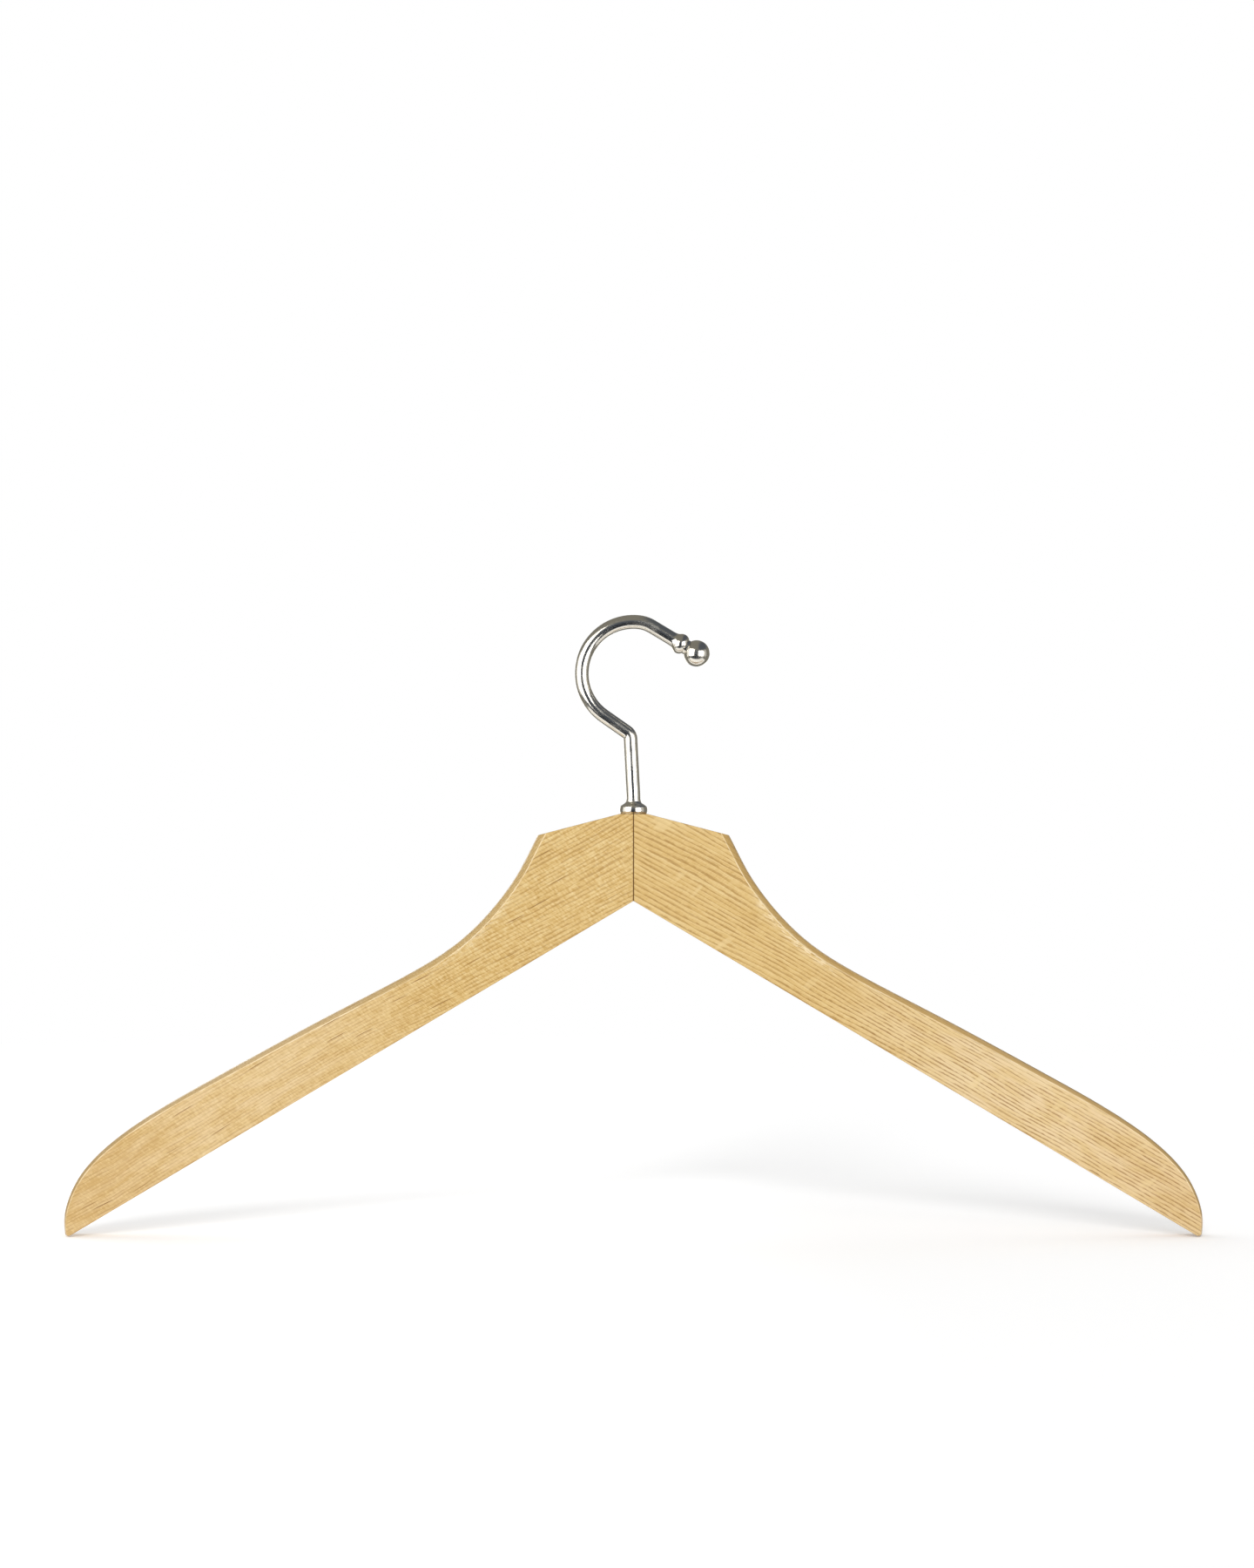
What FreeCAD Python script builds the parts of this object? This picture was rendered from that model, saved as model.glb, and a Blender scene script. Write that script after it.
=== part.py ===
"""Oak clothes hanger with a through-bolted swivel hook.

Two identical oak arms meet at an upright mitre and are glued over a pair of tongues.
A bent steel rod with a pressed-on ball tip makes the hook. Its stem runs down the mitre
through a ferrule and a bushing, and a lock nut in a counterbore under the neck holds it.

Frame: +Z is up, X runs from tip to tip, and Y is the thickness. The origin is the point
inside the crown of the hook that rests on top of a clothes rail. Units are millimetres.
"""
import FreeCAD
import Part

import math
import os

from FreeCAD import Vector

# Driving dimensions of the whole hanger
SPAN = 440.0
TOTAL_HEIGHT = 240.0
THICKNESS = 14.0
ROD_D = 5.4
BOW_R = 20.0  # centreline of the hook's bow

# Arms, as distances from the middle and heights above the line through the two tips
UPPER_APEX_H = 164.4
LAND_H = 163.0  # flat land that the ferrule stands on
LOWER_EDGE_DEG = 30.7
SHOULDER = [
    (37.0, 154.8),
    (43.8, 141.6),
    (54.0, 127.1),
    (67.5, 113.7),
    (87.5, 100.9),
    (114.5, 86.8),
    (161.5, 61.4),
    (188.5, 45.7),
    (204.0, 34.2),
    (214.5, 22.3),
    (218.9, 12.4),
    (SPAN / 2, 5.5),
]
SHOULDER_START_DEG = -60.0  # heading in which the shoulder leaves the neck's corner
TIP_X = 219.4
TIP_END_DEG = -99.0  # heading in which the shoulder arrives at the tip
CROWN_AT_NECK = 2.4  # how far the arched upper edge falls from its middle to each face
CROWN_AT_TIP = 1.3
CROWN_OVERRUN = 12.0  # how far the crown's surface runs on past the neck's corner and the tip
TIP_ROUND = 1.2
EASED_EDGE = 0.5

# Glued mitre: a fine V groove outside, one tongue towards the front and one to the back
SEAM_GROOVE_HALF_W = 0.18
SEAM_GROOVE_DEPTH = 0.25
TONGUE_REACH = 4.0
TONGUE_ROOT_Y = (3.6, 5.9)
TONGUE_END_Y = (3.9, 5.6)

# Hook
SHANK_LEAN_DEG = 3.0  # above the ferrule the shank leans back under the bow
SHANK_BEND_R = 30.0
SHANK_BEND_ABOVE_FERRULE = 1.5
KNEE_R = 3.3
BOW_FOOT_DEG = 235.0  # where the bow runs out into the straight above the knee
NOSE_R = 12.0  # tighter bend between the crown and the straight nose
NOSE_SLOPE_DEG = 31.0
BALL_CENTRE = (24.4, 225.1)

# Ball tip, as (radius, distance along the nose from the ball's centre)
BALL_R = 5.1
TIP_NECK_R = 2.9
TIP_NECK_END = -4.95
BEAD_TOP = (3.98, -7.1)
BEAD_FOOT = (3.35, -9.0)
TIP_COLLAR = (2.9, -9.95)
TIP_FOOT = (2.75, -11.0)
SPIGOT_R = 1.8
SPIGOT_LENGTH = 6.0

# Ferrule, as (radius, height above the land)
FERRULE_FOOT_ROUND = 0.3
FERRULE_FOOT_R = 5.15
FERRULE_BELLY = (5.4, 1.6)
FERRULE_RIM = (5.25, 2.6)
FERRULE_BROW = (5.08, 3.0)
FERRULE_CONE = [(4.7, 3.3), (3.6, 4.0)]
FERRULE_FLARE = (3.1, 4.5)
FERRULE_LIP = (2.85, 5.5)
RUNNING_GAP = 0.05  # radial, between the turning hook and what it turns in
END_PLAY = 0.1

# Stem, bushing, washer and nut
STEM_D = 5.0
BUSHING_D = 7.0
BUSHING_L = 10.0
STEM_BORE_D = 6.0
COUNTERBORE_D = 10.0
COUNTERBORE_TOP_H = 141.0
THREAD_D = 4.0
THREAD_PITCH = 0.7
THREAD_DEPTH = 0.3
THREAD_CREST_FLAT = 0.08
THREAD_TURNS = 11
STEM_END_BEVEL = 0.5
WASHER_D = 9.0
WASHER_HOLE_D = 4.3
WASHER_T = 0.8
NUT_ACROSS_FLATS = 7.0
NUT_HEX_H = 3.2
NUT_H = 5.0
NUT_CHAMFER_R = 3.4
NUT_CHAMFER_H = 0.35
NUT_COLLAR_D = 6.6
NUT_MOUTH_D = 4.8
NUT_LIP_H = 0.3
LOCK_RING_D = 5.6
LOCK_RING_H = 1.3
STEM_PAST_NUT = 0.9

CUT_MARGIN = 1.0  # how far a cutting tool runs past what it cuts
CLEARING_DEG = 35.0  # heading in which the wood outside the shoulder is cleared away

# Heights turned into the frame of the rail seat
TIPS_Z = ROD_D - TOTAL_HEIGHT
BOW_CENTRE = Vector(0, 0, ROD_D / 2 - BOW_R)
LAND_Z = TIPS_Z + LAND_H
COUNTERBORE_TOP_Z = TIPS_Z + COUNTERBORE_TOP_H
STEM_SHOULDER_Z = LAND_Z + END_PLAY
NUT_TOP_Z = COUNTERBORE_TOP_Z - WASHER_T - END_PLAY
STEM_END_Z = NUT_TOP_Z - NUT_H - STEM_PAST_NUT
THREAD_TOP_Z = STEM_END_Z + STEM_END_BEVEL + THREAD_TURNS * THREAD_PITCH
UP = Vector(0, 0, 1)


def heading(degrees):
    """Unit vector in the plane of the hanger, at that angle above +X."""
    return Vector(math.cos(math.radians(degrees)), 0, math.sin(math.radians(degrees)))


def above_tips(point):
    x, height = point
    return Vector(x, 0, TIPS_Z + height)


def on_lathe(point):
    radius, height = point
    return Vector(radius, 0, height)


def line(start, end):
    return Part.LineSegment(start, end).toShape()


def arc(start, middle, end):
    return Part.Arc(start, middle, end).toShape()


def turned(outline, base=Vector(0, 0, 0), axis=UP):
    """A turned solid, from a closed outline of (radius, height) points about +Z.

    An entry ("via", point) makes an arc through that point between its two neighbours.
    """
    edges = []
    here = on_lathe(outline[0])
    via = None
    for entry in outline[1:] + outline[:1]:
        if entry[0] == "via":
            via = on_lathe(entry[1])
            continue
        there = on_lathe(entry)
        edges.append(arc(here, via, there) if via else line(here, there))
        here = there
        via = None
    solid = Part.Face(Part.Wire(edges)).revolve(Vector(0, 0, 0), UP, 360)
    solid.Placement = FreeCAD.Placement(base, FreeCAD.Rotation(UP, axis))
    return solid


def rod(diameter, low_z, high_z):
    return Part.makeCylinder(diameter / 2, high_z - low_z, Vector(0, 0, low_z))


# ---------------------------------------------------------------- oak arms


def sharp_tip_height():
    """Height of the tip's corner before rounding, so that the rounded tip touches height zero."""
    lower_out = heading(270 - LOWER_EDGE_DEG)
    side_out = heading(TIP_END_DEG + 90)
    drop = (lower_out.z + side_out.z) / (1 + lower_out.dot(side_out))
    return TIP_ROUND * (1 + drop)


def shoulder_curve(tip):
    """The shoulder seen from the front, run on past the neck's corner and the tip."""
    corner = above_tips(SHOULDER[0])
    before = corner - heading(SHOULDER_START_DEG) * CROWN_OVERRUN
    beyond = tip + heading(TIP_END_DEG) * CROWN_OVERRUN
    curve = Part.BSplineCurve()
    curve.interpolate(
        Points=[before] + [above_tips(point) for point in SHOULDER] + [tip, beyond],
        InitialTangent=heading(SHOULDER_START_DEG),
        FinalTangent=heading(TIP_END_DEG),
    )
    return curve


def shoulder_crown(curve):
    """The arched upper edge: a parabola across the thickness, swept along the shoulder."""
    half_width = THICKNESS / 2 + CUT_MARGIN
    growth = (half_width / (THICKNESS / 2)) ** 2
    neck_x = SHOULDER[0][0]
    poles = curve.getPoles()
    side_rows = []
    middle_row = []
    for index, pole in enumerate(poles):
        along = poles[min(index + 1, len(poles) - 1)] - poles[max(index - 1, 0)]
        inward = Vector(along.z, 0, -along.x).normalize()
        share = min(max((pole.x - neck_x) / (TIP_X - neck_x), 0), 1)
        fall = inward * ((CROWN_AT_NECK + (CROWN_AT_TIP - CROWN_AT_NECK) * share) * growth)
        side_rows.append(pole + fall)
        middle_row.append(pole - fall)
    width = Vector(0, half_width, 0)
    grid = [
        [side - width, middle, side + width] for side, middle in zip(side_rows, middle_row)
    ]
    surface = Part.BSplineSurface()
    surface.buildFromPolesMultsKnots(
        grid, curve.getMultiplicities(), [3, 3], curve.getKnots(), [0, 1], False, False, curve.Degree, 2
    )
    return surface.toShape()


def shoulder_edges(blank):
    """The two long edges where the crowned shoulder meets the front and back faces."""
    return [
        edge
        for edge in blank.Edges
        if edge.Length > SPAN / 4 and edge.Curve.TypeId == "Part::GeomBSplineCurve"
    ]


def tip_edges(blank):
    """The sharp edge across the thickness where the crown meets the lower edge of the arm."""
    return [
        edge
        for edge in blank.Edges
        if edge.Length > THICKNESS / 2 and edge.BoundBox.XMin > TIP_X - 2 * TIP_ROUND
    ]


def arm_blank():
    """One arm with its edges shaped, reaching past the middle for the tongues."""
    reach = 2 * TONGUE_REACH
    corner = SHOULDER[0]
    lower_slope = math.tan(math.radians(LOWER_EDGE_DEG))
    upper_slope = (UPPER_APEX_H - corner[1]) / corner[0]
    tip_h = sharp_tip_height()
    tip = above_tips((TIP_X, tip_h))
    lower_middle = above_tips((-reach, tip_h + (TIP_X + reach) * lower_slope))
    upper_middle = above_tips((-reach, UPPER_APEX_H + reach * upper_slope))
    past_corner = above_tips((corner[0] + CUT_MARGIN, corner[1] - CUT_MARGIN * upper_slope))
    lower_tip = above_tips((TIP_X + CUT_MARGIN, tip_h - CUT_MARGIN * lower_slope))
    outside = above_tips((TIP_X + CUT_MARGIN, corner[1]))
    outline = [upper_middle, past_corner, outside, lower_tip, lower_middle, upper_middle]
    blank = Part.Face(Part.makePolygon(outline)).extrude(Vector(0, THICKNESS, 0))
    blank.translate(Vector(0, -THICKNESS / 2, 0))

    crown = shoulder_crown(shoulder_curve(tip))
    blank = blank.cut(crown.extrude(heading(CLEARING_DEG) * SPAN)).Solids[0]
    blank = blank.makeFillet(TIP_ROUND, tip_edges(blank))
    # the easing runs on smoothly round the tip and along the lower edges
    return blank.makeFillet(EASED_EDGE, shoulder_edges(blank))


def mitre_side():
    """Everything on the right arm's side of the glued mitre, up to the ferrule's land."""
    face_y = THICKNESS / 2
    groove_y = face_y - SEAM_GROOVE_DEPTH
    inner, outer = TONGUE_ROOT_Y
    end_inner, end_outer = TONGUE_END_Y
    seam = [
        (SEAM_GROOVE_HALF_W, -face_y),
        (0, -groove_y),
        (0, -outer),
        (TONGUE_REACH, -end_outer),
        (TONGUE_REACH, -end_inner),
        (0, -inner),
        (0, inner),
        (-TONGUE_REACH, end_inner),
        (-TONGUE_REACH, end_outer),
        (0, outer),
        (0, groove_y),
        (SEAM_GROOVE_HALF_W, face_y),
        (SPAN, face_y + CUT_MARGIN),
        (SPAN, -face_y - CUT_MARGIN),
    ]
    low_z = TIPS_Z - CUT_MARGIN
    plan = Part.makePolygon([Vector(x, y, low_z) for x, y in seam + seam[:1]])
    return Part.Face(plan).extrude(Vector(0, 0, LAND_Z - low_z))


def hook_bore():
    """The stepped bore down the mitre: bushing seat, stem clearance and nut counterbore."""
    bushing_seat_z = LAND_Z - BUSHING_L
    seat = rod(BUSHING_D, bushing_seat_z, LAND_Z + CUT_MARGIN)
    clearance = rod(STEM_BORE_D, TIPS_Z, LAND_Z)
    counterbore = rod(COUNTERBORE_D, TIPS_Z, COUNTERBORE_TOP_Z)
    return seat.fuse([clearance, counterbore])


def arms():
    right = arm_blank().common(mitre_side()).cut(hook_bore()).Solids[0]
    left = right.copy()
    left.rotate(Vector(0, 0, 0), UP, 180)
    return left, right


# ---------------------------------------------------------------- hook


def meeting(point_a, direction_a, point_b, direction_b):
    """Where two straight lines in the plane of the hanger cross."""
    gap = point_b - point_a
    cross = direction_a.x * direction_b.z - direction_a.z * direction_b.x
    along = (gap.x * direction_b.z - gap.z * direction_b.x) / cross
    return point_a + direction_a * along


def bend(corner, direction_in, direction_out, radius):
    """Start, middle and end of the arc that rounds a corner of the rod's centreline."""
    turn = direction_in.getAngle(direction_out)
    setback = radius * math.tan(turn / 2)
    start = corner - direction_in * setback
    end = corner + direction_out * setback
    inward = (direction_out - direction_in).normalize()
    centre = corner + inward * (radius / math.cos(turn / 2))
    return start, centre - inward * radius, end


def nose_geometry():
    """The direction of the straight nose, the centre of its bend, and where the bow ends."""
    direction = heading(-NOSE_SLOPE_DEG)
    square_out = heading(90 - NOSE_SLOPE_DEG)
    ball = above_tips(BALL_CENTRE)
    reach = (ball - BOW_CENTRE).dot(square_out)
    swing = math.degrees(math.acos((reach - NOSE_R) / (BOW_R - NOSE_R)))
    bow_end_deg = 90 - NOSE_SLOPE_DEG + swing
    bend_centre = BOW_CENTRE + heading(bow_end_deg) * (BOW_R - NOSE_R)
    return direction, square_out, bend_centre, bow_end_deg


def hook_path():
    """Centreline of the bent rod, from the ferrule up over the bow and down to the ball tip."""
    foot = Vector(0, 0, STEM_SHOULDER_Z)
    shank_corner = Vector(0, 0, LAND_Z + FERRULE_LIP[1] + SHANK_BEND_ABOVE_FERRULE)
    shank = heading(90 + SHANK_LEAN_DEG)
    bow_foot = BOW_CENTRE + heading(BOW_FOOT_DEG) * BOW_R
    climb = heading(BOW_FOOT_DEG - 90)
    knee_corner = meeting(shank_corner, shank, bow_foot, climb)
    shank_bend = bend(shank_corner, UP, shank, SHANK_BEND_R)
    knee = bend(knee_corner, shank, climb, KNEE_R)

    nose, square_out, nose_centre, bow_end_deg = nose_geometry()
    bow_middle = BOW_CENTRE + heading((BOW_FOOT_DEG + bow_end_deg) / 2) * BOW_R
    bow_end = BOW_CENTRE + heading(bow_end_deg) * BOW_R
    nose_middle = nose_centre + heading((bow_end_deg + 90 - NOSE_SLOPE_DEG) / 2) * NOSE_R
    nose_start = nose_centre + square_out * NOSE_R
    nose_end = above_tips(BALL_CENTRE) + nose * TIP_FOOT[1]
    return Part.Wire(
        [
            line(foot, shank_bend[0]),
            arc(*shank_bend),
            line(shank_bend[2], knee[0]),
            arc(*knee),
            line(knee[2], bow_foot),
            arc(bow_foot, bow_middle, bow_end),
            arc(bow_end, nose_middle, nose_start),
            line(nose_start, nose_end),
        ]
    )


def stem():
    """The turned-down end of the rod, with the thread drawn as plain rings."""
    crest = THREAD_D / 2
    root = crest - THREAD_DEPTH
    outline = [
        (0, STEM_SHOULDER_Z),
        (STEM_D / 2, STEM_SHOULDER_Z),
        (STEM_D / 2, THREAD_TOP_Z + (STEM_D - THREAD_D) / 2),
        (crest, THREAD_TOP_Z),
    ]
    for turn in range(THREAD_TURNS):
        top = THREAD_TOP_Z - turn * THREAD_PITCH
        outline.append((root, top - THREAD_PITCH / 2))
        outline.append((crest, top - THREAD_PITCH + THREAD_CREST_FLAT))
        outline.append((crest, top - THREAD_PITCH))
    outline.append((crest - STEM_END_BEVEL, STEM_END_Z))
    outline.append((0, STEM_END_Z))
    return turned(outline)


def hook_rod():
    path = hook_path()
    section = Part.Wire([Part.makeCircle(ROD_D / 2, Vector(0, 0, STEM_SHOULDER_Z), UP)])
    bent = path.makePipeShell([section], True, True)
    nose = heading(-NOSE_SLOPE_DEG)
    rod_end = above_tips(BALL_CENTRE) + nose * TIP_FOOT[1]
    spigot = Part.makeCylinder(SPIGOT_R, SPIGOT_LENGTH, rod_end, nose)
    return bent.fuse([stem(), spigot]).removeSplitter().Solids[0]


def ball_tip():
    """Ball and bead in one turned piece, with a blind hole for the rod's spigot."""
    ball_start = -math.sqrt(BALL_R**2 - TIP_NECK_R**2)
    outline = [
        (0, BALL_R),
        ("via", (BALL_R, 0)),
        (TIP_NECK_R, ball_start),
        (TIP_NECK_R, TIP_NECK_END),
        ("via", BEAD_TOP),
        BEAD_FOOT,
        ("via", TIP_COLLAR),
        TIP_FOOT,
        (SPIGOT_R, TIP_FOOT[1]),
        (SPIGOT_R, TIP_FOOT[1] + SPIGOT_LENGTH),
        (0, TIP_FOOT[1] + SPIGOT_LENGTH),
    ]
    return turned(outline, above_tips(BALL_CENTRE), heading(-NOSE_SLOPE_DEG))


# ---------------------------------------------------------------- fittings


def ferrule():
    hole_r = ROD_D / 2 + RUNNING_GAP
    corner = FERRULE_FOOT_ROUND * (1 - math.sqrt(0.5))
    outline = [
        (hole_r, 0),
        (FERRULE_FOOT_R - FERRULE_FOOT_ROUND, 0),
        ("via", (FERRULE_FOOT_R - corner, corner)),
        (FERRULE_FOOT_R, FERRULE_FOOT_ROUND),
        ("via", FERRULE_BELLY),
        FERRULE_RIM,
        ("via", FERRULE_BROW),
        FERRULE_CONE[0],
        FERRULE_CONE[1],
        ("via", FERRULE_FLARE),
        FERRULE_LIP,
        (hole_r, FERRULE_LIP[1]),
    ]
    return turned(outline, Vector(0, 0, LAND_Z))


def swivel_bushing():
    low_z = LAND_Z - BUSHING_L
    hole_d = STEM_D + 2 * RUNNING_GAP
    return rod(BUSHING_D, low_z, LAND_Z).cut(rod(hole_d, low_z - CUT_MARGIN, LAND_Z + CUT_MARGIN))


def thrust_washer():
    low_z = COUNTERBORE_TOP_Z - WASHER_T
    hole = rod(WASHER_HOLE_D, low_z - CUT_MARGIN, COUNTERBORE_TOP_Z + CUT_MARGIN)
    return rod(WASHER_D, low_z, COUNTERBORE_TOP_Z).cut(hole)


def nut_blank():
    """Chamfered hexagon over a round collar, with no hole yet."""
    hex_low_z = NUT_TOP_Z - NUT_HEX_H
    corner_r = NUT_ACROSS_FLATS / math.sqrt(3)
    angles = [math.radians(60 * i) for i in range(7)]
    corners = [Vector(corner_r * math.cos(a), corner_r * math.sin(a), hex_low_z) for a in angles]
    hexagon = Part.Face(Part.makePolygon(corners)).extrude(UP * NUT_HEX_H)
    chamfered = turned(
        [
            (0, hex_low_z),
            (corner_r, hex_low_z),
            (corner_r, NUT_TOP_Z - NUT_CHAMFER_H),
            (NUT_CHAMFER_R, NUT_TOP_Z),
            (0, NUT_TOP_Z),
        ]
    )
    return hexagon.common(chamfered).fuse(rod(NUT_COLLAR_D, NUT_TOP_Z - NUT_H, hex_low_z))


def lock_nut_and_ring(threaded_rod):
    """A lock nut and the nylon ring held in its collar, both shaped by the thread."""
    low_z = NUT_TOP_Z - NUT_H
    pocket_z = low_z + NUT_LIP_H
    pocket = rod(LOCK_RING_D, pocket_z, pocket_z + LOCK_RING_H)
    mouth = rod(NUT_MOUTH_D, low_z - CUT_MARGIN, pocket_z)
    nut = nut_blank().cut(pocket).cut(mouth).cut(threaded_rod)
    ring = pocket.cut(threaded_rod)
    return nut.Solids[0], ring.Solids[0]


def main():
    os.makedirs("parts", exist_ok=True)
    left, right = arms()
    hook = hook_rod()
    nut, ring = lock_nut_and_ring(hook)
    nodes = {
        "left_arm": left,
        "right_arm": right,
        "ferrule": ferrule(),
        "swivel_bushing": swivel_bushing(),
        "thrust_washer": thrust_washer(),
        "hook_rod": hook,
        "ball_tip": ball_tip(),
        "lock_nut": nut,
        "nut_lock_ring": ring,
    }
    for name, shape in nodes.items():
        shape.exportStep(f"parts/{name}.step")


main()
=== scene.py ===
import math

import bpy
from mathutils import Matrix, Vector


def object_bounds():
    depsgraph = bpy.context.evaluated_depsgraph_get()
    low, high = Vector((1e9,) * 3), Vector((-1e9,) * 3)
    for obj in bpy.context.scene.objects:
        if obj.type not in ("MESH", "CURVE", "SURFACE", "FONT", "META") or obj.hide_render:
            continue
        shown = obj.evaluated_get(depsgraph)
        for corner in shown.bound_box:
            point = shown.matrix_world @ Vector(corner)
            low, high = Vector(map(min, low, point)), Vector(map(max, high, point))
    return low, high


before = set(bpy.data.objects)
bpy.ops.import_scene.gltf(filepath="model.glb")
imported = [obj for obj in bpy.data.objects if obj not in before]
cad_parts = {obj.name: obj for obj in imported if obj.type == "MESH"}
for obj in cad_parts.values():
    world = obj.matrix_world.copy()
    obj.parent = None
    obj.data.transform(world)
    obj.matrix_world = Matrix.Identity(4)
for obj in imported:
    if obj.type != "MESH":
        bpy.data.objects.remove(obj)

CAD_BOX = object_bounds()

MM = 0.001


# ------------------------------------------------------------------ shader graph helper


class Graph:
    """Builds a node tree. Its methods add nodes and return the output socket of the last."""

    def __init__(self, tree):
        self.tree = tree
        tree.nodes.clear()

    def add(self, kind, inputs=None, **settings):
        node = self.tree.nodes.new(kind)
        for name, value in settings.items():
            setattr(node, name, value)
        for name, value in (inputs or {}).items():
            self.feed(node.inputs[name], value)
        return node

    def feed(self, socket, value):
        if isinstance(value, bpy.types.NodeSocket):
            self.tree.links.new(value, socket)
        else:
            socket.default_value = value

    def math(self, operation, a, b=0.0, clamp=False):
        inputs = {0: a, 1: b}
        return self.add("ShaderNodeMath", inputs, operation=operation, use_clamp=clamp).outputs[0]

    def plus(self, total, *others):
        for other in others:
            total = self.math("ADD", total, other)
        return total

    def minus(self, a, b):
        return self.math("SUBTRACT", a, b)

    def times(self, product, *others):
        for other in others:
            product = self.math("MULTIPLY", product, other)
        return product

    def step(self, value, low, high):
        """Smoothly from 0 at low to 1 at high. Low may be the larger, for a falling step."""
        inputs = {"Value": value, "From Min": low, "From Max": high}
        node = self.add("ShaderNodeMapRange", inputs, interpolation_type="SMOOTHSTEP")
        return node.outputs["Result"]

    def ramp(self, value, low, high):
        """Straight from 0 at low to 1 at high."""
        inputs = {"Value": value, "From Min": low, "From Max": high}
        return self.add("ShaderNodeMapRange", inputs).outputs["Result"]

    def blend(self, factor, a, b):
        """Between two numbers."""
        inputs = {"Factor": factor, "A": a, "B": b}
        return self.add("ShaderNodeMix", inputs, data_type="FLOAT").outputs["Result"]

    def tint(self, factor, a, b, mode="MIX"):
        """Between two colours."""
        node = self.add("ShaderNodeMix", {"Factor": factor}, data_type="RGBA", blend_type=mode)
        for socket, value in ((node.inputs[6], a), (node.inputs[7], b)):
            self.feed(socket, value if isinstance(value, bpy.types.NodeSocket) else (*value, 1))
        return node.outputs[2]

    def vector(self, x, y, z):
        return self.add("ShaderNodeCombineXYZ", {"X": x, "Y": y, "Z": z}).outputs[0]

    def split(self, vector):
        return self.add("ShaderNodeSeparateXYZ", {"Vector": vector}).outputs[:]

    def here(self):
        """The point being shaded, in metres in the CAD frame."""
        return self.add("ShaderNodeTexCoord").outputs["Object"]

    def stretched(self, point, lengths, seed):
        """The point (three sockets) measured in units of the three lengths."""
        parts = [self.math("DIVIDE", part, length) for part, length in zip(point, lengths)]
        parts[2] = self.plus(parts[2], seed)
        return self.vector(*parts)

    def noise(self, vector, detail=2.0, roughness=0.5, scale=1.0):
        inputs = {"Vector": vector, "Scale": scale, "Detail": detail, "Roughness": roughness}
        return self.add("ShaderNodeTexNoise", inputs, noise_dimensions="3D").outputs["Fac"]

    def figure(self, point, lengths, seed, detail=2.0, roughness=0.5):
        """Noise whose features have those lengths along the point's three directions."""
        return self.noise(self.stretched(point, lengths, seed), detail, roughness)

    def lumps(self, size, detail=2.0, roughness=0.5):
        """Noise whose features are that many mm across in every direction."""
        return self.noise(self.here(), detail, roughness, 1 / (size * MM))

    def cells(self, vector):
        """Distance to the nearest of a scatter of points, and a random number for each point."""
        node = self.add("ShaderNodeTexVoronoi", {"Vector": vector, "Scale": 1.0}, feature="F1")
        return node.outputs["Distance"], self.split(node.outputs["Color"])[0]

    def bump(self, height, strength, rise):
        """The normal on a relief that stands up to rise mm."""
        inputs = {"Strength": strength, "Distance": rise * MM, "Height": height}
        return self.add("ShaderNodeBump", inputs).outputs["Normal"]


def srgb(red, green, blue):
    """Linear colour of an 8 bit sRGB one."""
    parts = [part / 255 for part in (red, green, blue)]
    return tuple(p / 12.92 if p <= 0.04045 else ((p + 0.055) / 1.055) ** 2.4 for p in parts)


def darker(colour, share):
    return tuple(share * part for part in colour)


def new_material(name):
    material = bpy.data.materials.new(name)
    material.use_nodes = True
    return material, Graph(material.node_tree)


def close_material(graph, shader):
    graph.add("ShaderNodeOutputMaterial", {"Surface": shader.outputs[0]})


# ------------------------------------------------------------------ oak

OAK_PALE = srgb(215, 193, 142)
OAK_MID = srgb(202, 171, 112)
OAK_GOLD = srgb(182, 146, 80)
OAK_LINE = srgb(138, 98, 40)
OAK_PORE = srgb(124, 86, 39)
OAK_RAY = srgb(216, 192, 141)
OAK_BLUSH = srgb(216, 193, 156)
# Painted shade on the edges that turn away from the front.
OAK_EDGE_SHADE = srgb(203, 163, 92)
# Painted shade, deeper, on the rims where the edges turn edge-on to the front.
OAK_RIM_SHADE = srgb(141, 102, 49)
# Painted highlight, for the pale line beside the face and the specks in the hollow.
OAK_PAINTED_HIGHLIGHT = srgb(222, 202, 162)
SEAM_SHADE = srgb(86, 54, 22)

# All in mm. A span is where a change from neck to tip begins and ends, measured outwards
# from the middle of the hanger.
APEX_Z = -104.5  # where the two lower edges meet
HOLLOW_CENTRE = (132.4, 0, -41.7)  # middle of the shoulder's hollow curve
HOLLOW_R = 102.3
CURL_REACH = 200
GRAIN_WANDER = 5.0
PITCH_SPAN = (45, 115)
LINE_SPAN = (35, 115)
TONE_SPAN = (30, 105)
BLUSH_SPAN = (60, 140)
TIP_SPAN = (165, 208)

CURL_POWER = 5
YEAR_DRIFT = 2.0  # years that a ring wanders over a long way
YEAR_JOG = 0.4  # and over one dash
YEAR_STRIDE = 5.3  # keeps the dashes of neighbouring years apart
RAY_LEAN = -0.35
TIP_SHADE = 0.28
PATCH_DEPTH = 0.25
LINE_COVER = 0.85
RAY_COVER = 0.6
SEAM_COVER = 0.85

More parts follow.
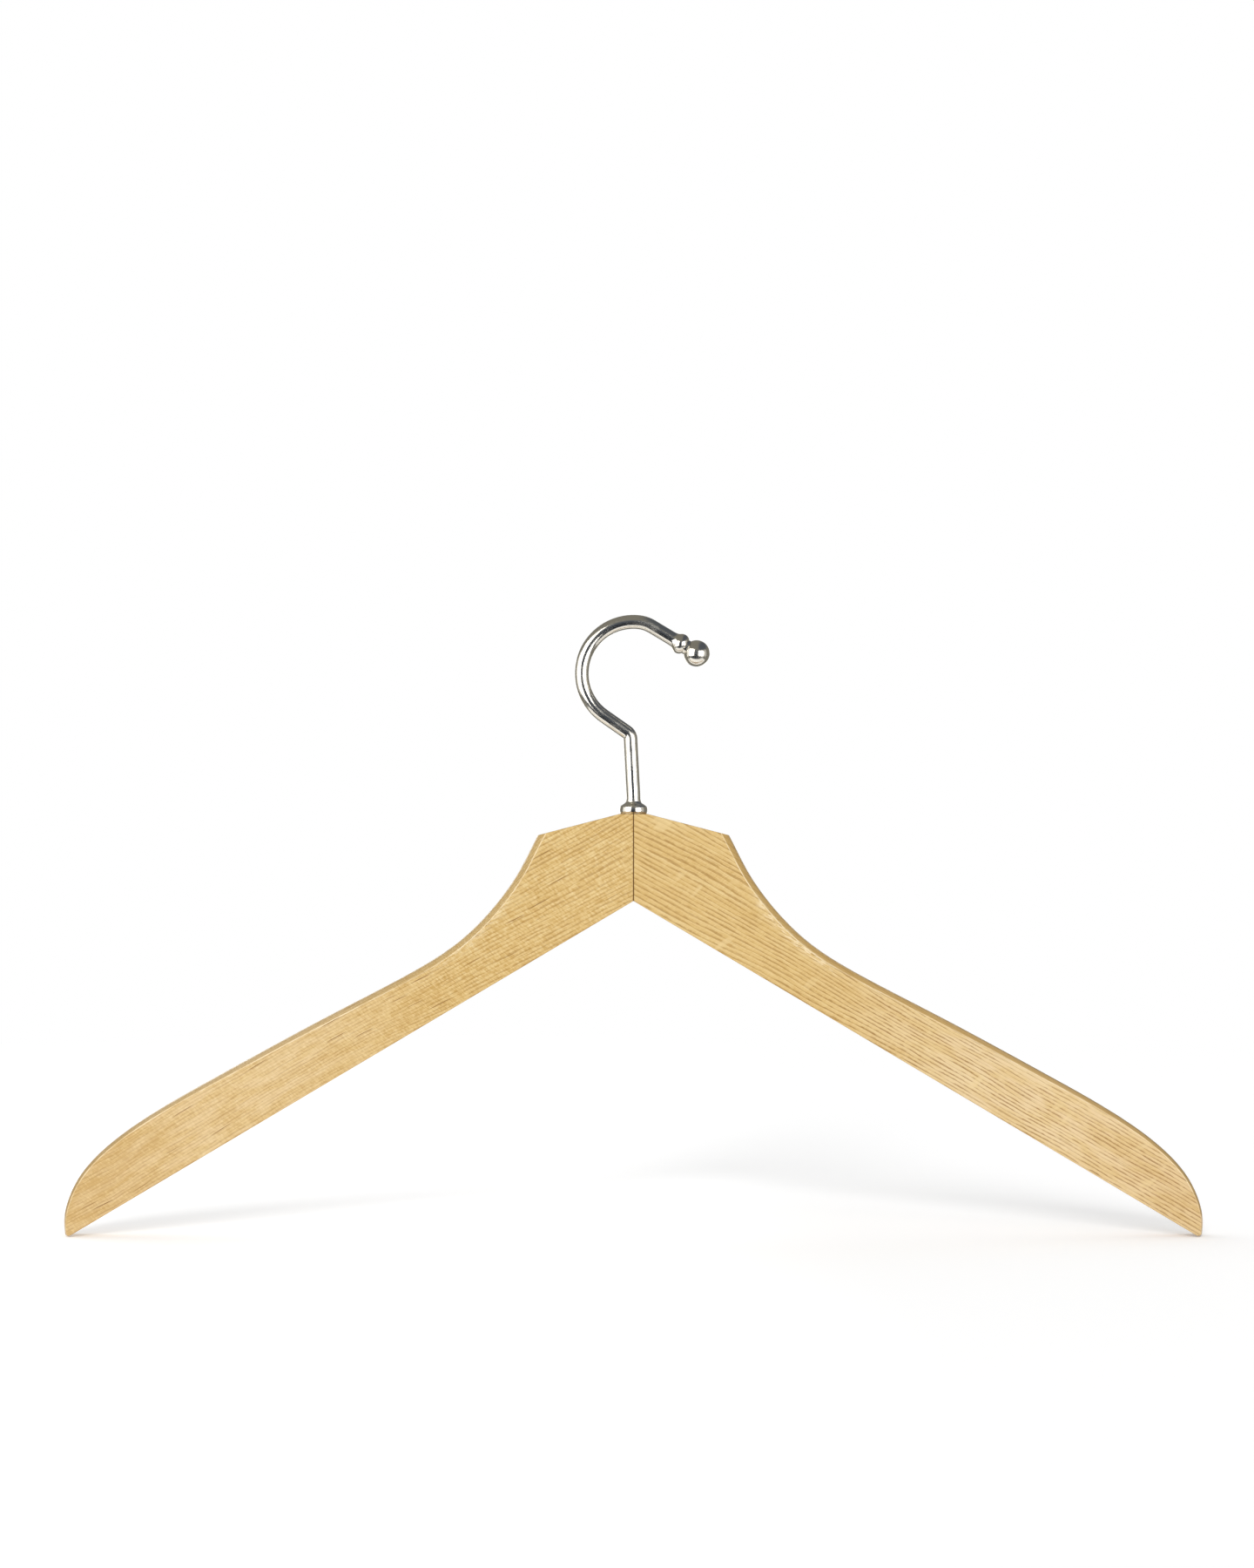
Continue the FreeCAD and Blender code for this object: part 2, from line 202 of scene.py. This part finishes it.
# Lengths in mm, slopes as rise over run, the rest are depths and strengths. "near" is by
# the neck and "far" is out towards the tip.
RIGHT_CUT = {
    "side": 1,
    "slope": 0.56,
    "tip_curl": 1.0,
    "pitch_near": 1.8,
    "pitch_far": 1.35,
    "ring_tilt": 0.12,
    "dash": 9.0,
    "line_near": 0.68,
    "line_far": 0.95,
    "slant": 0.3,
    "far_tone": 0.04,
    "blush": 1.3,
    "hair": 1.1,
    "cross": 0.55,
    "stripe": 0.5,
    "blotch": 0.3,
    "crack": 0.3,
    "ray_depth": 0.8,
    # The next three set painted light on the edges: shade on the crowned edge, shade on its rim,
    # pale glints; the right arm's edges get more shade.
    "band_shade_depth": 0.7,
    "rim_shade_depth": 0.6,
    "glint": 1.0,
    "seed": 3.7,
}
LEFT_CUT = {
    "side": -1,
    "slope": 0.52,
    "tip_curl": 8.0,
    "pitch_near": 1.6,
    "pitch_far": 1.25,
    "ring_tilt": 0.5,
    "dash": 7.0,
    "line_near": 0.52,
    "line_far": 0.4,
    "slant": 0.2,
    "far_tone": -0.06,
    "blush": 0.9,
    "hair": 1.4,
    "cross": 1.5,
    "stripe": 0.35,
    "blotch": 0.4,
    "crack": 1.0,
    "ray_depth": 0.35,
    # The next three set painted light on the edges: shade on the crowned edge, shade on its rim,
    # pale glints; the left arm's edges get less shade.
    "band_shade_depth": 0.2,
    "rim_shade_depth": 0.1,
    "glint": 0.55,
    "seed": 21.3,
}


def grain_space(graph, cut):
    """The point in mm along the grain, across it in the board's face, and through the board.

    The grain runs along the arm's lower edge and curls down a little at the tip.
    """
    x, y, z = [graph.times(part, 1 / MM) for part in graph.split(graph.here())]
    outwards = graph.times(x, cut["side"])
    share = graph.math("DIVIDE", outwards, CURL_REACH, clamp=True)
    curl = graph.times(graph.math("POWER", share, CURL_POWER), cut["tip_curl"])
    fall = graph.plus(graph.times(outwards, cut["slope"]), curl)
    level = math.cos(math.atan(cut["slope"]))
    across = graph.times(graph.plus(z, -APEX_Z, fall), level)
    along = graph.plus(graph.times(outwards, 1 / level), graph.times(across, -cut["slope"]))
    wander = graph.figure((along, across, y), (70, 26, 25), cut["seed"], 1.0)
    across = graph.plus(across, graph.times(graph.plus(wander, -0.5), GRAIN_WANDER))
    return x, z, outwards, (along, across, y)


def growth_lines(graph, cut, grain, outwards):
    """One fine dark line of pores for each year, broken into dashes of its own.

    Also returns how far through its year each point is, and the direction across the rings.
    """
    along, across, through = grain
    seed, dash = cut["seed"], cut["dash"]
    axis = graph.plus(across, graph.times(through, cut["ring_tilt"]))
    rings = (along, axis, through)
    pitch = graph.blend(graph.step(outwards, *PITCH_SPAN), cut["pitch_near"], cut["pitch_far"])
    drift = graph.times(graph.figure(rings, (110, 12, 60), seed + 1, 1.0), YEAR_DRIFT)
    jog = graph.times(graph.figure(rings, (dash, 1.3, 8), seed + 2, 1.0), YEAR_JOG)
    phase = graph.plus(graph.math("DIVIDE", axis, pitch), drift, jog)
    year = graph.math("FLOOR", phase)
    place = graph.math("FRACT", phase)

    own = (along, graph.times(year, YEAR_STRIDE), through)
    strength = graph.figure(own, (dash, 1.0, 9), seed + 3, 3.0, 0.65)
    width = graph.blend(graph.step(strength, 0.35, 0.62), 0.1, 0.36)
    begins = graph.step(place, 0.0, 0.1)
    ends = graph.step(place, graph.plus(width, 0.14), width)
    nicks = graph.figure(rings, (1.4, 0.22, 2), seed + 12, 2.0, 0.6)
    line = graph.times(begins, ends, graph.blend(graph.step(nicks, 0.38, 0.55), 0.55, 1.0))

    faded = graph.figure(grain, (30, 7, 12), seed + 4)
    far_out = graph.step(outwards, *LINE_SPAN)
    upper = graph.times(graph.step(across, 9, 20), far_out)
    depth = graph.times(
        graph.blend(graph.step(strength, 0.36, 0.56), 0.45, 1.0),
        graph.blend(graph.step(faded, 0.32, 0.52), 0.6, 1.0),
        graph.blend(upper, 1.0, 0.65),
        graph.blend(far_out, cut["line_near"], cut["line_far"]),
    )
    return graph.times(line, depth), place, axis


def rays(graph, cut, grain):
    """Soft pale flecks that stand at a steep angle to the grain, and a fine cross figure."""
    along, across, through = grain
    seed = cut["seed"]
    leaning = (graph.plus(along, graph.times(across, RAY_LEAN)), across, through)
    fleck = graph.figure(leaning, (4.5, 15, 30), seed + 8, 1.5)
    area = graph.figure(grain, (26, 14, 12), seed + 9, 1.0)
    cross = graph.figure(leaning, (0.55, 1.9, 4), seed + 11, 2.0, 0.6)
    ray = graph.times(graph.step(fleck, 0.53, 0.68), graph.step(area, 0.56, 0.68))
    return graph.times(ray, cut["ray_depth"]), cross


def hollow_glints(graph, cut, grain, outwards, z):
    """Painted highlight: pale glinting specks just inside the edge of the hollow between neck and
    shoulder.
    """
    ends = {0: graph.vector(outwards, 0.0, z), 1: HOLLOW_CENTRE}
    reach = graph.add("ShaderNodeVectorMath", ends, operation="DISTANCE").outputs["Value"]
    inside = graph.minus(reach, HOLLOW_R)
    specks = graph.figure(grain, (3.0, 0.5, 1.0), cut["seed"] + 13, 2.0, 0.65)
    return graph.times(
        graph.step(inside, 1.2, 2.6),
        graph.step(inside, 6.0, 3.2),
        graph.step(outwards, 42, 52),
        graph.step(outwards, 88, 66),
        graph.step(specks, 0.44, 0.62),
    )


def painted_edge_light(graph, cut, blotch):
    """Masks of painted light: shade on the crowned edges, deeper shade on their rims, and a
    highlight line beside the face.
    """
    normal = graph.add("ShaderNodeTexCoord").outputs["Normal"]
    _, facing, upwards = graph.split(normal)
    facing = graph.math("ABSOLUTE", facing)
    # painted shade on surfaces turned away from the front, where less light falls
    painted_band_shade = graph.times(graph.step(facing, 0.85, 0.6), cut["band_shade_depth"])
    # painted shade, deeper, where the surface turns edge-on to the front
    painted_rim_shade = graph.times(graph.step(facing, 0.3, 0.08), cut["rim_shade_depth"])
    # painted highlight: a pale line where the face rounds over into its edge, patchy with the
    # blotches
    wear_and_highlight = graph.times(
        graph.step(facing, 0.999, 0.97),
        graph.step(facing, 0.7, 0.84),
        graph.step(upwards, 0.0, 0.1),
        graph.blend(graph.step(blotch, 0.4, 0.6), 0.35, 0.9),
    )
    return painted_band_shade, painted_rim_shade, wear_and_highlight


def oak(name, cut):
    """Lacquered oak: gold to pale by its figure, under layers of lines, flecks, and painted shade
    and highlights along its edges.
    """
    material, graph = new_material(name)
    seed = cut["seed"]
    x, z, outwards, grain = grain_space(graph, cut)
    along, across, through = grain
    line, place, axis = growth_lines(graph, cut, grain, outwards)
    ray, cross = rays(graph, cut, grain)
    line = graph.times(line, graph.minus(1.0, graph.times(ray, 0.8)))

    # hair lines between the dark ones, broad stripes, blotches and a few long open pores
    rings = (along, axis, through)
    hair = graph.figure(rings, (5, 0.28, 0.9), seed + 5, 3.0, 0.7)
    stripe = graph.figure(rings, (60, 3.2, 6), seed + 6, 2.0, 0.6)
    patch = graph.figure(grain, (34, 13, 12), seed + 7)
    blotch = graph.figure(grain, (13, 3.8, 6), seed + 10, 3.0, 0.55)
    pore_distance, pore_pick = graph.cells(graph.stretched(rings, (34, 1.0, 2.2), seed))
    pore = graph.times(graph.step(pore_distance, 0.16, 0.09), graph.step(pore_pick, 0.0, 0.3))

    far_out = graph.step(outwards, *TONE_SPAN)
    by_the_tip = graph.step(outwards, *TIP_SPAN)
    # Painted light: out along the arm the face turns paler towards its upper edge, as if more
    # light falls on its top.
    far_tone = graph.blend(graph.step(across, 8, 40), 0.5, 0.72)
    tone = graph.blend(far_out, 0.52, graph.plus(far_tone, cut["far_tone"]))
    tone = graph.plus(tone, graph.times(by_the_tip, -TIP_SHADE))
    patterns = (
        (hair, cut["hair"]),
        (place, cut["slant"]),
        (stripe, cut["stripe"]),
        (patch, PATCH_DEPTH),
        (cross, cut["cross"]),
        (blotch, graph.times(far_out, cut["blotch"])),
    )
    for pattern, depth in patterns:
        tone = graph.plus(tone, graph.times(graph.plus(pattern, -0.5), depth))
    colour = graph.tint(graph.ramp(tone, 0.1, 0.55), OAK_GOLD, OAK_MID)
    colour = graph.tint(graph.ramp(tone, 0.55, 1.0), colour, OAK_PALE)

    outer = graph.minus(graph.step(outwards, *BLUSH_SPAN), graph.times(by_the_tip, 0.3))
    blush = graph.blend(graph.step(blotch, 0.35, 0.65), 0.22, 0.5)
    painted_band_shade, painted_rim_shade, wear_and_highlight = painted_edge_light(graph, cut, blotch)
    glints = hollow_glints(graph, cut, grain, outwards, z)
    seam = graph.step(graph.math("ABSOLUTE", x), 0.34, 0.12)
    layers = (
        (graph.times(blush, cut["blush"], outer), OAK_BLUSH),
        (graph.times(line, LINE_COVER), OAK_LINE),
        (graph.times(ray, RAY_COVER), OAK_RAY),
        (graph.times(pore, cut["crack"]), OAK_PORE),
        # the next four layers are painted light: shade on the edges and their rims, and
        # highlights beside the face and in the hollow
        (painted_band_shade, OAK_EDGE_SHADE),
        (painted_rim_shade, OAK_RIM_SHADE),
        (wear_and_highlight, OAK_PAINTED_HIGHLIGHT),
        (graph.times(glints, cut["glint"]), OAK_PAINTED_HIGHLIGHT),
        (graph.times(seam, SEAM_COVER), SEAM_SHADE),
    )
    for cover, shade in layers:
        colour = graph.tint(cover, colour, shade)

    relief = graph.plus(graph.times(hair, 0.5), graph.times(line, -0.5), graph.times(pore, -0.8))
    gloss = graph.blend(graph.plus(graph.times(pore, 0.6), graph.times(hair, 0.4)), 0.42, 0.6)
    shader = graph.add(
        "ShaderNodeBsdfPrincipled",
        {
            "Base Color": colour,
            "Roughness": gloss,
            "Normal": graph.bump(relief, 0.35, 0.05),
            "IOR": 1.5,
            "Specular IOR Level": 0.25,
            "Coat Weight": 0.4,
            "Coat Roughness": 0.16,
            "Coat Normal": graph.bump(relief, 0.12, 0.03),
        },
    )
    close_material(graph, shader)
    return material


# ------------------------------------------------------------------ metal and plastic


def plated_metal(name, colour, roughness, wave, dent):
    """Bright plating over metal with waves that many mm long and dents that deep."""
    material, graph = new_material(name)
    wear_and_highlight = graph.lumps(6)
    grit = graph.plus(graph.lumps(wave, 1.0, 0.4), graph.times(graph.lumps(0.35, 3.0, 0.6), 0.03))
    shader = graph.add(
        "ShaderNodeBsdfPrincipled",
        {
            "Base Color": graph.tint(graph.step(wear_and_highlight, 0.35, 0.7), colour, darker(colour, 0.9)),
            "Metallic": 1.0,
            "Roughness": graph.blend(graph.step(wear_and_highlight, 0.4, 0.7), roughness, roughness * 1.8),
            "Normal": graph.bump(grit, 1.0, dent),
        },
    )
    close_material(graph, shader)
    return material


def moulded_plastic(name, colour, roughness):
    """Matt plastic with a fine speckle and faint clouds."""
    material, graph = new_material(name)
    speckle = graph.lumps(0.4, 3.0, 0.6)
    cloud = graph.times(graph.lumps(5), 0.3)
    shader = graph.add(
        "ShaderNodeBsdfPrincipled",
        {
            "Base Color": graph.tint(cloud, colour, darker(colour, 0.8)),
            "Roughness": graph.blend(speckle, roughness, roughness + 0.12),
            "Normal": graph.bump(speckle, 0.3, 0.01),
        },
    )
    close_material(graph, shader)
    return material


def dress(nodes):
    nickel = plated_metal("nickel", (0.86, 0.82, 0.73), 0.15, 3.0, 0.04)
    zinc = plated_metal("zinc", (0.58, 0.6, 0.62), 0.26, 0.8, 0.01)
    finishes = {
        "left_arm": oak("oak_left", LEFT_CUT),
        "right_arm": oak("oak_right", RIGHT_CUT),
        "ferrule": nickel,
        "hook_rod": nickel,
        "ball_tip": nickel,
        "thrust_washer": zinc,
        "lock_nut": zinc,
        "swivel_bushing": moulded_plastic("acetal", (0.8, 0.77, 0.7), 0.4),
        "nut_lock_ring": moulded_plastic("blue_nylon", (0.03, 0.09, 0.35), 0.4),
    }
    for node, material in finishes.items():
        for place in nodes[node].material_slots:
            place.material = material


# ------------------------------------------------------------------ stage, light and camera

FLOOR_Z = CAD_BOX[0].z
FLOOR_GREY = 0.8
FLOOR_GLOW = 0.27
FLOOR_FADE = (0.7, 1.3)  # where the floor melts into the white, as distances from the hook
TABLE = ((-0.3, -0.165), (0.3, 0.1))  # corners of the part that shows in reflections

CAMERA_DISTANCE = 1.6
CAMERA_SIDE = -0.0025
CAMERA_HEIGHT = 0.1746  # above the floor
FRAME_HEIGHT = 0.6062  # what the picture's height spans at the hanger
SENSOR = 36.0

HOOK = Vector((0, 0, -0.03))  # what the soft boxes are aimed at
BOX_REACH = 0.9
# name, azimuth, elevation, (width, height), brightness
SOFTBOXES = (
    ("box_left", -47, 9, (0.8, 0.95), 3.0),
    ("box_right", 42, 0, (0.76, 0.69), 3.0),
    ("wing_left", -86, 3, (0.42, 0.7), 0.8),
    ("wing_right", 81, 3, (0.42, 0.7), 0.35),
    ("back_left", -160, -4, (0.3, 0.4), 1.8),
    ("back_right", 168, -4, (0.24, 0.4), 1.4),
)
# name, azimuth, elevation, spread in degrees, brightness
SUNS = (
    ("key", -8, 23, 16, 0.58),
    ("side", 14, 24, 46, 0.14),
)


def flat_sheet(name, low, high, z):
    (west, south), (east, north) = low, high
    corners = [(west, south, z), (east, south, z), (east, north, z), (west, north, z)]
    mesh = bpy.data.meshes.new(name)
    mesh.from_pydata(corners, [], [(0, 1, 2, 3)])
    sheet = bpy.data.objects.new(name, mesh)
    bpy.context.scene.collection.objects.link(sheet)
    return sheet


def floor_material():
    """A white floor that takes soft shadows and melts into the white studio further out."""
    material, graph = new_material("white_sweep")
    here = graph.here()
    reach = graph.add("ShaderNodeVectorMath", {0: here}, operation="LENGTH").outputs["Value"]
    x = graph.split(here)[0]
    # Painted light: left of the middle the floor glows brighter, which lightens the shadows on
    # that side.
    fill = graph.blend(graph.step(x, -0.2, -0.1), 0.07, 0.105)
    fill = graph.plus(graph.times(graph.step(x, 0.1, -0.05), fill), FLOOR_GLOW)
    diffuse = graph.add("ShaderNodeBsdfDiffuse", {"Color": (FLOOR_GREY,) * 3 + (1,)})
    glow = graph.add("ShaderNodeEmission", {"Color": (1, 1, 1, 1), "Strength": fill})
    near = graph.add("ShaderNodeAddShader", {0: diffuse.outputs[0], 1: glow.outputs[0]})
    far = graph.add("ShaderNodeEmission", {"Color": (1, 1, 1, 1), "Strength": 1.0})
    mix = graph.add("ShaderNodeMixShader", {0: graph.step(reach, *FLOOR_FADE)})
    graph.feed(mix.inputs[1], near.outputs[0])
    graph.feed(mix.inputs[2], far.outputs[0])
    close_material(graph, mix)
    return material


def lay_floor():
    """A table that shadows and reflections see, and wide floors round it that they don't."""
    material = floor_material()
    (west, south), (east, north) = TABLE
    parts = {
        "table": TABLE,
        "floor_front": ((-6, -6), (6, south)),
        "floor_back": ((-6, north), (6, 8)),
        "floor_left": ((-6, south), (west, north)),
        "floor_right": ((east, south), (6, north)),
    }
    for name, (low, high) in parts.items():
        sheet = flat_sheet(name, low, high, FLOOR_Z)
        sheet.visible_glossy = name == "table"
        sheet.visible_shadow = name == "table"
        sheet.data.materials.append(material)


def bearing(azimuth, elevation):
    """Unit vector towards that bearing. Azimuth 0 is the camera's side."""
    a, e = math.radians(azimuth), math.radians(elevation)
    return Vector((math.sin(a) * math.cos(e), -math.cos(a) * math.cos(e), math.sin(e)))


def hang_lamp(name, data, place, towards):
    lamp = bpy.data.objects.new(name, data)
    lamp.location = place
    lamp.rotation_mode = "QUATERNION"
    lamp.rotation_quaternion = towards.to_track_quat("-Z", "Y")
    lamp.visible_camera = False
    bpy.context.scene.collection.objects.link(lamp)
    return lamp


def softbox(name, azimuth, elevation, size, brightness):
    """A bright rectangle that only reflections see."""
    data = bpy.data.lights.new(name, "AREA")
    data.shape = "RECTANGLE"
    data.size, data.size_y = size
    data.energy = brightness * math.pi * size[0] * size[1]
    away = bearing(azimuth, elevation)
    hang_lamp(name, data, HOOK + away * BOX_REACH, -away).visible_diffuse = False


def soft_sun(name, azimuth, elevation, spread, brightness):
    """Even light from a wide patch of that bearing, which reflections don't see."""
    data = bpy.data.lights.new(name, "SUN")
    data.angle = math.radians(spread)
    data.energy = brightness * math.pi
    away = bearing(azimuth, elevation)
    hang_lamp(name, data, away, -away).visible_glossy = False


def studio_world():
    """White behind the hanger, soft light on it, and a dark studio in its reflections."""
    world = bpy.data.worlds.new("studio")
    bpy.context.scene.world = world
    world.use_nodes = True
    graph = Graph(world.node_tree)
    x, y, z = graph.split(graph.add("ShaderNodeTexCoord").outputs["Generated"])

    # what reflections see: cool and lighter towards the camera and the upper right
    front = graph.times(graph.step(y, 0.0, -0.8), graph.step(z, 0.65, 0.05))
    upper_right = graph.times(graph.step(x, 0.1, 0.45), graph.step(z, 0.3, 0.6))
    cool = graph.math("MAXIMUM", front, graph.times(upper_right, 0.8))
    darkness = graph.blend(graph.step(z, -0.25, 0.0), 0.03, 0.075)
    studio = graph.blend(cool, 0.21, darkness)
    mirrored = graph.tint(cool, (1.0, 0.97, 0.86), (0.8, 0.95, 1.25))
    mirrored = graph.tint(1.0, mirrored, graph.vector(studio, studio, studio), "MULTIPLY")

    # what lights the hanger: the sky above, the back, and most of all the back left
    ambient = graph.blend(graph.step(y, -0.1, 0.6), 0.0, 0.6)
    ambient = graph.blend(graph.step(z, 0.0, 0.6), ambient, 0.5)
    back_left = graph.times(
        graph.step(x, 0.2, -0.5), graph.step(y, -0.2, 0.3), graph.step(z, 0.0, 0.4), 0.9
    )
    ambient = graph.plus(ambient, back_left)
    ambient = graph.vector(ambient, ambient, ambient)

    path = graph.add("ShaderNodeLightPath")
    seen = graph.tint(path.outputs["Is Glossy Ray"], ambient, mirrored)
    seen = graph.tint(path.outputs["Is Camera Ray"], seen, (1.0, 1.0, 1.0))
    background = graph.add("ShaderNodeBackground", {"Color": seen, "Strength": 1.0})
    graph.add("ShaderNodeOutputWorld", {"Surface": background.outputs[0]})


def set_camera():
    data = bpy.data.cameras.new("camera")
    data.sensor_width = SENSOR
    data.lens = SENSOR * CAMERA_DISTANCE / FRAME_HEIGHT
    camera = bpy.data.objects.new("camera", data)
    camera.location = (CAMERA_SIDE, -CAMERA_DISTANCE, FLOOR_Z + CAMERA_HEIGHT)
    camera.rotation_euler = (math.radians(90), 0, 0)
    bpy.context.scene.collection.objects.link(camera)
    bpy.context.scene.camera = camera


dress(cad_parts)
lay_floor()
for row in SOFTBOXES:
    softbox(*row)
for row in SUNS:
    soft_sun(*row)
studio_world()
set_camera()
bpy.context.scene.view_settings.view_transform = "Standard"
